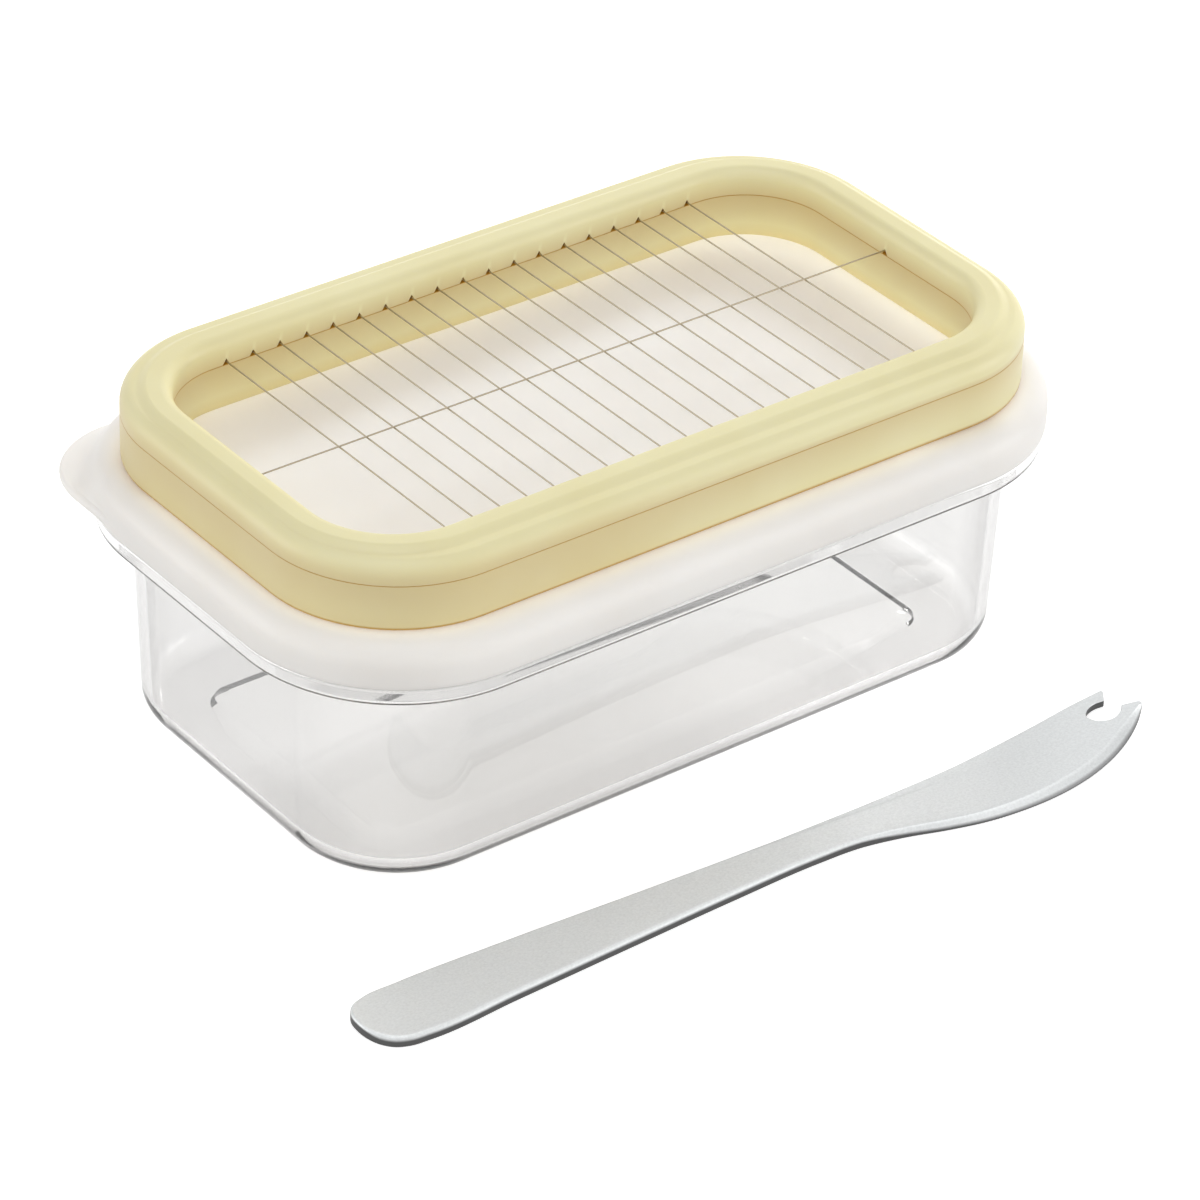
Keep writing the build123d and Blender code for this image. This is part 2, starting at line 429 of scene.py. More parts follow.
class Effects:
    """Shader node groups that several materials share, built once."""

    def __init__(self) -> None:
        """Builds the groups."""
        self.grain = self.moulded_grain()
        self.drawn = self.drawn_steel()

    @staticmethod
    def group(name: str, inputs: dict[str, float], outputs: tuple[str, ...]) -> Graph:
        """Starts a group that reads a place.

        Args:
            name: The group's name.
            inputs: Its other inputs by name, with their first values.
            outputs: Names of its outputs.

        Returns:
            The group, with its sockets and no nodes.
        """
        tree = bpy.data.node_groups.new(name, "ShaderNodeTree")
        face = tree.interface
        face.new_socket("Vector", in_out="INPUT", socket_type="NodeSocketVector")
        for label, value in inputs.items():
            socket = face.new_socket(label, in_out="INPUT", socket_type="NodeSocketFloat")
            socket.default_value = value
        for label in outputs:
            face.new_socket(label, in_out="OUTPUT", socket_type="NodeSocketFloat")
        return Graph(tree)

    def moulded_grain(self) -> Graph:
        """The surface of moulded plastic: fine spark-eroded grain over slow sink and flow marks.

        The height is a quarter of the slow noise plus the fine noise.

        Returns:
            A group that gives a bump height, a roughness shift about 0 and a colour shift about 0.
        """
        inputs = {"Grain": 2600.0, "Flow": 45.0}
        group = self.group("moulded_grain", inputs, ("Height", "Rough", "Cloud"))
        enter = group.node("NodeGroupInput").outputs
        fine = group.noise(enter["Vector"], enter["Grain"], Detail=3.0, Roughness=0.6)
        slow = group.noise(enter["Vector"], enter["Flow"], Detail=2.0, Distortion=0.4)
        results = {
            "Height": group.count("MULTIPLY_ADD", slow, 0.25, fine),
            "Rough": group.count("SUBTRACT", fine, 0.5),
            "Cloud": group.count("SUBTRACT", slow, 0.5),
        }
        group.node("NodeGroupOutput", results)
        return group

    def drawn_steel(self) -> Graph:
        """Fine polishing lines along X: noise squeezed across the lines and drawn out along them.

        Returns:
            A group that gives a bump height and a roughness shift about 0.
        """
        inputs = {"Lines": 900.0, "Length": 0.02}
        group = self.group("drawn_steel", inputs, ("Height", "Rough"))
        enter = group.node("NodeGroupInput").outputs
        factors = group.node("ShaderNodeCombineXYZ", {"X": enter["Length"], "Y": 1.0, "Z": 1.0})
        both = {0: enter["Vector"], 1: factors.outputs[0]}
        stretched = group.node("ShaderNodeVectorMath", both, operation="MULTIPLY").outputs[0]
        lines = group.noise(stretched, enter["Lines"], Detail=4.0, Roughness=0.65)
        results = {"Height": lines, "Rough": group.count("SUBTRACT", lines, 0.5)}
        group.node("NodeGroupOutput", results)
        return group


class Material(Graph):
    """A material being built, with its main shader."""

    def __init__(self, name: str) -> None:
        """Makes the material with a Principled shader.

        Args:
            name: Name of the material.
        """
        self.block = bpy.data.materials.new(name)
        self.block.use_nodes = True
        super().__init__(self.block.node_tree)
        self.shader = self.found("BSDF_PRINCIPLED")
        self.surface = self.found("OUTPUT_MATERIAL")

    def plain(self, **values: object) -> None:
        """Sets the shader's own sockets, named with underscores for spaces."""
        for label, value in values.items():
            self.shader.inputs[label.replace("_", " ")].default_value = value

    def place(self, turn: float = 0.0) -> Socket:
        """Reads the place on the piece.

        Args:
            turn: Angle in degrees by which the pattern is turned about Z.

        Returns:
            Object coordinates.
        """
        where = self.node("ShaderNodeTexCoord").outputs["Object"]
        if not turn:
            return where
        inputs = {"Vector": where, "Rotation": (0.0, 0.0, math.radians(turn))}
        return self.node("ShaderNodeMapping", inputs).outputs["Vector"]

    def effect(self, group: Graph, place: Socket, **values: float) -> bpy.types.NodeOutputs:
        """Adds a shared effect with its own values, read at a place, and returns its outputs."""
        inputs = {"Vector": place, **values}
        return self.node("ShaderNodeGroup", inputs, node_tree=group.tree).outputs

    def tint(self) -> Socket:
        """Returns the piece's tint attribute: how much painted shade its colour carries."""
        return self.node("ShaderNodeAttribute", attribute_name="tint").outputs["Fac"]

    def shifted(self, source: Socket, spread: float, middle: float) -> Socket:
        """Returns a value times a spread plus a middle, between 0 and 1."""
        return self.count("MULTIPLY_ADD", source, spread, middle, clamp=True)

    def bump(self, height: Socket, depth: float) -> None:
        """Feeds a height through a Bump node into the shader's normal."""
        bump = self.node("ShaderNodeBump", {"Distance": depth, "Height": height})
        self.link(bump.outputs["Normal"], self.shader.inputs["Normal"])

    def shine_through(self, seen: Socket, shade: Colour) -> None:
        """Shows a shader, and lets light pass to what the surface shades.

        Args:
            seen: The shader.
            shade: Colour by which the light that passes is filtered.
        """
        is_shadow = self.node("ShaderNodeLightPath").outputs["Is Shadow Ray"]
        through = self.node("ShaderNodeBsdfTransparent", {"Color": shade}).outputs[0]
        either = self.node("ShaderNodeMixShader", {0: is_shadow, 1: seen, 2: through})
        self.link(either.outputs[0], self.surface.inputs["Surface"])


def srgb(red: int, green: int, blue: int) -> Colour:
    """Returns a screen colour from 0 to 255 as the linear colour that renders as it."""
    parts = (value / 255 for value in (red, green, blue))
    return (*((p / 12.92 if p <= 0.04045 else ((p + 0.055) / 1.055) ** 2.4) for p in parts), 1.0)


@dataclass(frozen=True)
class MouldedFinish:
    """Satin moulded plastic that lets a little light in.

    Args:
        name: Name of the material.
        pale: Colour of the open surface.
        cloud: Colour that slow flow marks drift towards.
        painted_shade_colour: Colour painted where the tint is 1: painted shade in seams, creases
            and gaps, warm where it stands for light that has come through the plastic.
        inside: Share of light that scatters inside.
        reach: How far red, green and blue light travel inside, in metres.
        shade: What each of its surfaces lets through to what it shades.
        from_behind: Share of its light that comes through from its far side.
        warm: Colour of that light.
        roughness: Middle of its roughness.
        roughness_spread: How far the grain moves the roughness.
        cloud_spread: How strongly the flow marks mix the pale colour and the cloud.
        grain: Scale of the fine grain, in repeats per metre.
        depth: Height of the grain in metres.
    """

    name: str
    pale: Colour
    cloud: Colour
    painted_shade_colour: Colour
    inside: float
    reach: tuple[float, float, float]
    shade: Colour
    from_behind: float
    warm: Colour
    roughness: float = 0.4
    roughness_spread: float = 0.16
    cloud_spread: float = 2.4
    grain: float = 2600.0
    depth: float = 0.00002

    def material(self, effects: Effects) -> Finish:
        """Builds the material.

        Args:
            effects: The shared node groups.

        Returns:
            The material. It reads the piece's tint attribute.
        """
        made = Material(self.name)
        grain = made.effect(effects.grain, made.place(), Grain=self.grain)
        cloud = made.shifted(grain["Cloud"], self.cloud_spread, 0.5)
        surface = made.mix(cloud, self.pale, self.cloud)
        # The tint mixes the painted shade colour into the base colour.
        made.link(made.mix(made.tint(), surface, self.painted_shade_colour), made.shader.inputs["Base Color"])
        rough = made.shifted(grain["Rough"], self.roughness_spread, self.roughness)
        made.link(rough, made.shader.inputs["Roughness"])
        made.bump(grain["Height"], self.depth)
        made.plain(
            Subsurface_Weight=self.inside, Subsurface_Radius=self.reach, Subsurface_Scale=1.0
        )
        behind = made.node("ShaderNodeBsdfTranslucent", {"Color": self.warm}).outputs[0]
        shares = {0: self.from_behind, 1: made.shader.outputs[0], 2: behind}
        made.shine_through(made.node("ShaderNodeMixShader", shares).outputs[0], self.shade)
        return made.block


@dataclass(frozen=True)
class ClearFinish:
    """Polished clear plastic, which light passes as well as sight.

    Args:
        name: Name of the material.
        colour: What its colour lets through.
        shade: What a wall lets through to what it shades.
        rim: What it lets through where it is seen along its surface, darker as a painted shade on
            its edges.
        rim_power: How narrow that rim is.
        index: Refractive index.
        depth_colour: Colour that it darkens to where the way through it is long.
        depth_density: How fast it does, per metre.
        haze: Middle of its roughness, and how far handling marks move it.
        handling: Scale of those marks, in repeats per metre.
        flow: Scale of the waves in its surface, in repeats per metre.
        wave: Height of those waves in metres.
    """

    name: str
    colour: Colour
    shade: Colour
    rim: Colour = (0.24, 0.235, 0.23, 1.0)
    rim_power: float = 2.0
    index: float = 1.5
    depth_colour: Colour = (0.3, 0.28, 0.28, 1.0)
    depth_density: float = 58.0
    haze: Pair = (0.02, 0.02)
    handling: float = 700.0
    flow: float = 28.0
    wave: float = 0.000012

    def material(self, effects: Effects) -> Finish:
        """Builds the material: its colour goes over to the rim's by a power of the facing.

        Args:
            effects: The shared node groups.

        Returns:
            The material.
        """
        made = Material(self.name)
        grain = made.effect(effects.grain, made.place(), Grain=self.handling, Flow=self.flow)
        made.plain(Transmission_Weight=1.0, IOR=self.index, Metallic=0.0)
        # Painted shade: the colour goes over to the darker rim's where the surface is seen aslant.
        facing = made.node("ShaderNodeLayerWeight", {"Blend": 0.5}).outputs["Facing"]
        aslant = made.count("POWER", facing, self.rim_power)
        made.link(made.mix(aslant, self.colour, self.rim), made.shader.inputs["Base Color"])
        rough = made.shifted(grain["Rough"], self.haze[1], self.haze[0])
        made.link(rough, made.shader.inputs["Roughness"])
        made.bump(grain["Cloud"], self.wave)
        made.shine_through(made.shader.outputs[0], self.shade)
        wall = {"Color": self.depth_colour, "Density": self.depth_density}
        thickness = made.node("ShaderNodeVolumeAbsorption", wall).outputs[0]
        made.link(thickness, made.surface.inputs["Volume"])
        return made.block


@dataclass(frozen=True)
class SteelFinish:
    """Stainless steel with fine lines.

    Args:
        name: Name of the material.
        colour: Colour of its reflection.
        roughness: Middle of its roughness.
        lines: How many lines there are per metre across them.
        length: How much longer than wide a line is, as its inverse.
        depth: Height of the lines in metres.
        turn: Angle of the lines about Z in degrees.
        spread: How far the lines move the roughness.
        darker: Share of the colour that is left in the lines.
        edge: Colour of its cut side faces, where the tint is 1: a painted dark reflection.
    """

    name: str
    colour: Colour
    roughness: float
    lines: float
    length: float
    depth: float = 0.000004
    turn: float = 0.0
    spread: float = 0.2
    darker: float = 0.74
    edge: Colour = (0.1, 0.1, 0.1, 1.0)

    def material(self, effects: Effects) -> Finish:
        """Builds the material.

        Args:
            effects: The shared node groups.

        Returns:
            The material. It reads the piece's tint attribute.
        """
        made = Material(self.name)
        place = made.place(self.turn)
        drawn = made.effect(effects.drawn, place, Lines=self.lines, Length=self.length)
        made.plain(Metallic=1.0)
        in_lines = tuple(self.darker * part for part in self.colour[:3]) + (1.0,)
        face = made.mix(drawn["Height"], self.colour, in_lines)
        # Painted dark reflection on the cut side faces, by the tint.
        made.link(made.mix(made.tint(), face, self.edge), made.shader.inputs["Base Color"])
        rough = made.shifted(drawn["Rough"], self.spread, self.roughness)
        made.link(rough, made.shader.inputs["Roughness"])
        made.bump(drawn["Height"], self.depth)
        return made.block


# ---------------------------------------------------------------------------------------------
# Sub-assemblies
# ---------------------------------------------------------------------------------------------


@dataclass
class Layout:
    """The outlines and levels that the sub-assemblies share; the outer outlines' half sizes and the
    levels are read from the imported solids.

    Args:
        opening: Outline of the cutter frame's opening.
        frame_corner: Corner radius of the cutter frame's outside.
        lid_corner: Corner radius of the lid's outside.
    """

    opening: Outline = Outline(0.0712, 0.0356, 0.0164)
    frame_corner: float = 0.026
    lid_corner: float = 0.0319

    def __post_init__(self) -> None:
        """Reads the outer outlines and the levels from the solids."""
        ring_low, ring_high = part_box("lower_ring")
        top_low, top_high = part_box("upper_ring")
        lid_low, lid_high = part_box("lid")
        self.frame = Outline(ring_high[0], ring_high[1], self.frame_corner)
        self.lid = Outline(lid_high[0], lid_high[1], self.lid_corner)
        self.foot_z = ring_low[2]
        self.seam_z = top_low[2]
        self.crest_z = top_high[2]
        self.skirt_z = lid_low[2]
        self.plateau_z = lid_high[2]
        self.rim_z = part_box("case")[1][2]


@dataclass
class CutterFrame:
    """The two-part ring that holds the wires. Its sections count the opening 0 and its outside 1.

    Args:
        layout: Shared outlines and levels.
        wires: How many cross wires there are.
        pitch: Distance from wire to wire.
        notch_half: Half of a notch's width at the seam.
        notch_places: Stations across a notch, as shares of that half width.
        notch_rise: Height of a notch.
        notch_reach: How far a notch runs into the ring.
        notch_painted_shade: How far into the ring and up to what height a notch's inside is painted
            in full shade, tint 1.
        sliver: Width of the step at the end of the notches.
        corner_steps: How many steps a corner has.
        edge: Radius of the edges at the seam and the inner foot.
        foot_edge: Radius of the outer edge at the foot.
        foot_rows: Heights over that edge that have rows of their own, for the tint.
        crest_round: Radius of the edge over the opening.
        crest_width: Width of the raised band round the opening.
        crest_rise: How far that band stands over the shoulder.
        crest_edge: Half of the width over which the band's outer edge rises.
        crest_foot: How far past the band and under the shoulder that edge starts.
        shoulder_round: Radius of the outer shoulder.
        flare: How far the opening widens at the foot.
        flare_rise: Height over which it does.
        seam_painted_shade: Painted shade in the seam between the two rings.
        seam_fade: Height over which it fades.
        foot_painted_shade: Painted shade at the foot, where the ring stands on the lid, inside, and
            how much more there is outside.
        foot_fade: Heights over the foot at which it is full and gone.
        inner_painted_shade: Further painted shade of the inner wall.
        wall_painted_shade: Most painted shade of the outer wall, under the shoulder at the -X end.
        wall_drop: How far under the crest that is full and gone.
        wall_run: Where along X it is full and gone.
    """

    layout: Layout
    wires: int = 19
    pitch: float = 0.0058
    notch_half: float = 0.00075
    notch_places: tuple[float, ...] = (-1.12, -1.0, 0.0, 1.0, 1.12)
    notch_rise: float = 0.0013
    notch_reach: float = 0.003
    notch_painted_shade: Pair = (0.0001, 0.0015)
    sliver: float = 0.00002
    corner_steps: int = 20
    edge: float = 0.00013
    foot_edge: float = 0.0005
    foot_rows: tuple[float, ...] = (0.0002, 0.0005, 0.0009, 0.0016)
    crest_round: float = 0.0023
    crest_width: float = 0.0062
    crest_rise: float = 0.0009
    crest_edge: float = 0.0018
    crest_foot: Pair = (0.0005, 0.0001)
    shoulder_round: float = 0.0032
    flare: float = 0.0005
    flare_rise: float = 0.003
    seam_painted_shade: float = 0.9
    seam_fade: float = 0.00022
    foot_painted_shade: Pair = (0.15, 0.8)
    foot_fade: Pair = (0.0003, 0.0009)
    inner_painted_shade: float = 0.05
    wall_painted_shade: float = 0.26
    wall_drop: Pair = (0.0045, 0.0014)
    wall_run: Pair = (-0.05, 0.03)

    def stations(self) -> Stations:
        """Sets the stations, with the feet and peak of every notch on the straight sides.

        Returns:
            The stations of both rings.
        """
        half_x, half_y = self.layout.opening.straight()
        number = np.arange(self.wires) - (self.wires - 1) / 2
        across = self.notch_half * np.array(self.notch_places)
        notches = (number[:, None] * self.pitch + across).ravel()
        long_side = np.concatenate([[-half_x], notches, [half_x]]) / half_x
        short_side = np.concatenate([[-half_y], across, [half_y]]) / half_y
        return Stations.around(long_side, short_side, self.corner_steps)

    def notch_lift(self, stations: Stations) -> np.ndarray:
        """Works out how far the underside of the upper ring is raised at each station.

        Within a notch's half width of a peak it rises in a straight line to the peak.

        Args:
            stations: The stations of the ring.

        Returns:
            The rise at each station.
        """
        half_x, half_y = self.layout.opening.straight()
        on_long = np.abs(np.sin(stations.angle)) > NEARLY_ONE
        on_short = np.abs(np.cos(stations.angle)) > NEARLY_ONE
        along = np.where(on_long, stations.along_x * half_x, stations.along_y * half_y)
        last = (self.wires - 1) / 2 * self.pitch
        nearest = np.clip(np.round(along / self.pitch) * self.pitch, -last, last)
        away = np.abs(along - np.where(on_long, nearest, 0.0))
        rise = self.notch_rise * np.clip(1.0 - away / self.notch_half, 0.0, 1.0)
        return np.where(on_long | on_short, rise, 0.0)

    def outer_wall_painted_shade(self, grid: np.ndarray) -> np.ndarray:
        """Works out the outer wall's painted shade: a fade down from the shoulder times one along
        X.

        Args:
            grid: The ring's vertices.

        Returns:
            The tint of each vertex.
        """
        full, none = (self.layout.crest_z - drop for drop in self.wall_drop)
        down = fade(grid[:, :, 2], full, none)
        return self.wall_painted_shade * down * fade(grid[:, :, 0], *self.wall_run)

    def ring(self, stations: Stations, section: Section) -> np.ndarray:
        """Carries a section round the opening and the frame's outside."""
        return carry(stations, [self.layout.opening, self.layout.frame], section)

    def lower(self, stations: Stations, finish: Finish) -> Piece:
        """Builds the lower ring: straight outside, and an inside that flares towards its foot.

        Args:
            stations: The stations of the ring.
            finish: Its material.

        Returns:
            The piece.
        """
        low, high, edge, foot = self.layout.foot_z, self.layout.seam_z, self.edge, self.foot_edge
        section = Section()
        section.arc(1, (-foot, low + foot), foot, -90, 0, 5)
        for rise in self.foot_rows:
            section.to(1, 0.0, low + foot + rise)
        section.arc(1, (-edge, high - edge), edge, 0, 90, 4)
        section.arc(0, (edge, high - edge), edge, 90, 180, 4)
        section.to(0, 0.0, low + self.flare_rise)
        section.arc(0, (self.flare + edge, low + edge), edge, 180, 270, 4)
        grid = self.ring(stations, section)
        height = grid[:, :, 2]
        outside = section.array()[None, :, 0]
        # Painted shade at the foot, where the ring stands on the lid, with more of it outside.
        at_foot, more_outside = self.foot_painted_shade
        full, none = (low + rise for rise in self.foot_fade)
        tint = (at_foot + more_outside * outside) * fade(height, full, none)
        # Painted shade over the inner wall.
        tint += self.inner_painted_shade * (1.0 - outside)
        # Painted shade in the seam.
        tint += self.seam_painted_shade * fade(height, high, high - self.seam_fade)
        # Painted shade on the outer wall, under the shoulder at the -X end.
        tint = np.clip(np.maximum(tint, outside * self.outer_wall_painted_shade(grid)), 0.0, 1.0)
        role = Role(Body.CUTTER, Slot.FRAME, "lower_ring")
        return role.piece("lower_ring_shell", grid, True, finish, tint)

    def upper(self, stations: Stations, finish: Finish) -> Piece:
        """Builds the upper ring: shoulder, raised band round the opening, and the wire notches.

        Args:
            stations: The stations of the ring.
            finish: Its material.

        Returns:
            The piece.
        """
        low, crest, edge = self.layout.seam_z, self.layout.crest_z, self.edge
        shoulder, round_out = crest - self.crest_rise, self.shoulder_round
        past, under = self.crest_foot
        band_foot = (self.crest_width + past, shoulder - under)
        band_top = (self.crest_width - self.crest_edge, crest)
        round_in = self.crest_round
        section = Section()
        section.arc(1, (-edge, low + edge), edge, -90, 0, 4)
        section.arc(1, (-round_out, shoulder - round_out), round_out, 0, 72, 10)
        section.ease(0, band_foot, band_top, 12)
        section.arc(0, (round_in, crest - round_in), round_in, 90, 180, 12)
        section.arc(0, (edge, low + edge), edge, 180, 270, 4)
        section.to(0, self.notch_reach, low)
        section.to(0, self.notch_reach + self.sliver, low)
        grid = self.ring(stations, section)
        base, out = section.array()[:, 0][None, :], section.array()[:, 1][None, :]
        in_notch = (base == 0) & (out < self.notch_reach + self.sliver / 2)
        lift = self.notch_lift(stations)[:, None]
        raised = np.maximum(grid[:, :, 2], low + lift)
        grid[:, :, 2] = np.where(in_notch, raised, grid[:, :, 2])
        height = grid[:, :, 2]
        # Painted shade in the seam, and on the outer wall under the shoulder at the -X end.
        seam = self.seam_painted_shade * fade(height, low, low + self.seam_fade)
        seam = np.maximum(seam, (base == 1) * self.outer_wall_painted_shade(grid))
        # Full painted shade inside the notches.
        dark_from, dark_height = self.notch_painted_shade
        dark = in_notch & (lift > 0) & (out > dark_from) & (height < low + dark_height)
        role = Role(Body.CUTTER, Slot.FRAME, "upper_ring")
        return role.piece("upper_ring_shell", grid, True, finish, np.where(dark, 1.0, seam))

    def build(
        self, nodes: dict[str, Piece], thin: Finish, thick: Finish, wire: Finish
    ) -> list[Piece]:
        """Builds both rings and dresses the wires and beads.

        Args:
            nodes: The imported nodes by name.
            thin: Finish of the lower ring.
            thick: Finish of the upper ring, which lets less light through.
            wire: Finish of the wires and beads.

        Returns:
            The rings, wires and beads.
        """
        stations = self.stations()
        pieces = [self.lower(stations, thin), self.upper(stations, thick)]
        for name, node in nodes.items():
            if "wire" in name or "beads" in name:
                for place in node.material_slots:
                    place.material = wire
                pieces.append(node)
        return pieces


@dataclass
class Lid:
    """The soft lid with its skirt, sealing rib, plateau and corner pull tab.

    Its section counts the lid's outline 0 and the cutter frame's opening 1.

    Args:
        layout: Shared outlines and levels.
        wall: Thickness of the skirt.
        plate: Thickness of the top.
        edge_round: Radius of the edge all round.
        plateau_rise: How far the plateau stands over the top.
        plateau_gap: Gap from the plateau to the ring round it.
        plateau_foot: Width and height of the slope at the plateau's foot.
        plateau_round: Radius of the plateau's edge.
        plateau_rows: Distances inside the opening at which the plateau has rows.
        middle: How far inside the opening the hollow under the plateau has its last row.
        rib_depth: How far the sealing rib reaches down.
        rib_wall: Its thickness.
        rib_inset: How far it lies inside the lid's outline.
        hem: Radius of the edges of the skirt and the rib.
        hem_painted_shade: Painted shadow at the skirt's lower edge, for the dark gap over the
            case's rim.
        hem_fade: Heights over that edge at which it is full and gone.
        tab_corner: Corner radius of the pull tab.
        tab_lift: Height of the tab's underside over the skirt's edge.
        tab_lip: Thickness of the tab at its outer edge.
        tab_rise: Height over which the tab's top sweeps up into the shoulder.
        tab_ends: Reach under which the tab's rounded edge fades out.
        tab_gap: Height from the tab's first row to its underside.
        wall_rows: Shares of the wall from tab to shoulder that have rows.
        corner_steps: How many steps a corner has.
    """

    layout: Layout
    wall: float = 0.0015
    plate: float = 0.0016
    edge_round: float = 0.0045
    plateau_rise: float = 0.0009
    plateau_gap: float = 0.0004
    plateau_foot: float = 0.0002
    plateau_round: float = 0.0005
    plateau_rows: tuple[float, ...] = (0.0015, 0.003, 0.0045, 0.006, 0.008, 0.010, 0.012)
    middle: float = 0.004
    rib_depth: float = 0.005
    rib_wall: float = 0.0014
    rib_inset: float = 0.0098
    hem: float = 0.0004
    hem_painted_shade: float = 0.5
    hem_fade: Pair = (0.00012, 0.0005)
    tab_corner: float = 0.0168
    tab_lift: float = 0.0009
    tab_lip: float = 0.0018
    tab_rise: float = 0.0044
    tab_ends: float = 0.0012
    tab_gap: float = 0.00003
    wall_rows: tuple[float, ...] = (0.08, 0.2, 0.36, 0.56, 0.78)
    corner_steps: int = 30

    def tab_reach(self, stations: Stations) -> np.ndarray:
        """Works out how far the tab stands out from the lid's outline at each station.

        In the -X, +Y corner a ray from the corner's centre meets the sides of the lid's box, or the
        tab's own smaller corner arc. The reach is the nearer of them, less the lid's radius.

        Args:
            stations: The stations of the lid.

        Returns:
            The reach at each station, 0 away from the tab.
        """
        radius = self.layout.lid.corner
        across, up = np.abs(np.cos(stations.angle)), np.abs(np.sin(stations.angle))
        inset = radius - self.tab_corner
        to_sides = radius / np.maximum(across, up)
        beside = inset * (across + up)
        inside_root = beside**2 - 2 * inset**2 + self.tab_corner**2
        to_arc = beside + np.sqrt(np.maximum(inside_root, 0.0))
        on_side = to_sides * np.minimum(across, up) <= inset
        reach = np.where(on_side, to_sides, to_arc) - radius
        in_corner = (np.cos(stations.angle) <= 0.0) & (np.sin(stations.angle) >= 0.0)
        in_corner &= (stations.along_x < -NEARLY_ONE) & (stations.along_y > NEARLY_ONE)
        return np.where(in_corner, reach, 0.0)

    @staticmethod
    def lip_turns() -> np.ndarray:
        """Returns the angles of the rows round the tab's lip, from its underside to its top."""
        return np.radians(np.linspace(-90.0, 90.0, 11))

    def underside(self, top: float) -> Section:
        """Draws the section from the hollow under the plateau, over the rib, to the skirt's edge.

        Args:
            top: Height of the lid's top beside the plateau.

        Returns:
            The section so far.
        """
        low, under = self.layout.skirt_z, top - self.plate
        ceiling = self.layout.plateau_z - self.plate
        hem, wall, inner_round = self.hem, self.wall, self.edge_round - self.wall
        rib_out, rib_in = -self.rib_inset, -self.rib_inset - self.rib_wall
        rib_low = under - self.rib_depth + hem
        section = Section()
        section.to(1, -self.middle, ceiling)
        section.to(1, -self.plateau_gap - wall, ceiling)
        section.to(1, -self.plateau_gap - wall, under)
        section.to(0, rib_in, under)
        section.arc(0, (rib_in + hem, rib_low), hem, 180, 270, 4)
        section.arc(0, (rib_out - hem, rib_low), hem, 270, 360, 4)
        section.to(0, rib_out, under)
        section.arc(0, (-wall - inner_round, under - inner_round), inner_round, 90, 0, 8)
        section.arc(0, (-wall + hem, low + hem), hem, 180, 270, 4)
        section.arc(0, (-hem, low + hem), hem, -90, 0, 4)
        return section

    def build(self, finish: Finish) -> list[Piece]:
        """Builds the lid as one capped section, with the tab drawn out of its skirt.

        A point of the skirt moves out by the tab's reach times a share, which is 1 on the tab's lip
        and falls with the cube of the height over it, less the rounding of the lip.

        Args:
            finish: Its material.

        Returns:
            The lid.
        """
        low, high = self.layout.skirt_z, self.layout.plateau_z
        top = high - self.plateau_rise
        section = self.underside(top)
        lip_row = len(section.rows) + 1
        lip, lip_z = self.tab_lip / 2, low + self.tab_lift + self.tab_lip / 2
        section.to(0, 0.0, lip_z - lip - self.tab_gap)
        section.rows += [(0, 0.0, lip_z + lip * math.sin(turn)) for turn in self.lip_turns()]
        wall_left = top - self.edge_round - lip_z - lip
        for share in self.wall_rows:
            section.to(0, 0.0, lip_z + lip + wall_left * share)
        section.arc(0, (-self.edge_round, top - self.edge_round), self.edge_round, 0, 90, 24)
        section.to(1, -self.plateau_gap + self.plateau_foot, top)
        section.to(1, -self.plateau_gap, top + self.plateau_foot)
        soft = self.plateau_round
        section.arc(1, (-self.plateau_gap - soft, high - soft), soft, 0, 90, 5)
        for inset in self.plateau_rows:
            section.to(1, -inset, high)
        stations = Stations.even(self.corner_steps)
        grid = carry(stations, [self.layout.lid, self.layout.opening], section)
        base, _, height = section.array().T
        over_lip = np.clip((height - lip_z - lip) / self.tab_rise, 0.0, 1.0)
        share = np.where(base == 0, (1.0 - over_lip) ** 3, 0.0)
        share[:lip_row] = 0.0
        rounding = lip * share
        turns = self.lip_turns()
        rounding[lip_row : lip_row + len(turns)] = lip * (1.0 - np.cos(turns))
        reach = self.tab_reach(stations)[:, None]
        out = reach * share - fade(reach, self.tab_ends, 0.0) * rounding
        grid[:, :, :2] += out[:, :, None] * stations.normals()[:, None, :]
        # Painted shadow line along the skirt's lower edge.
        full, none = (low + rise for rise in self.hem_fade)
        tint = self.hem_painted_shade * fade(grid[:, :, 2], full, none)
        return [Role(Body.LID, Slot.LID, "lid").piece("lid_shell", grid, False, finish, tint)]


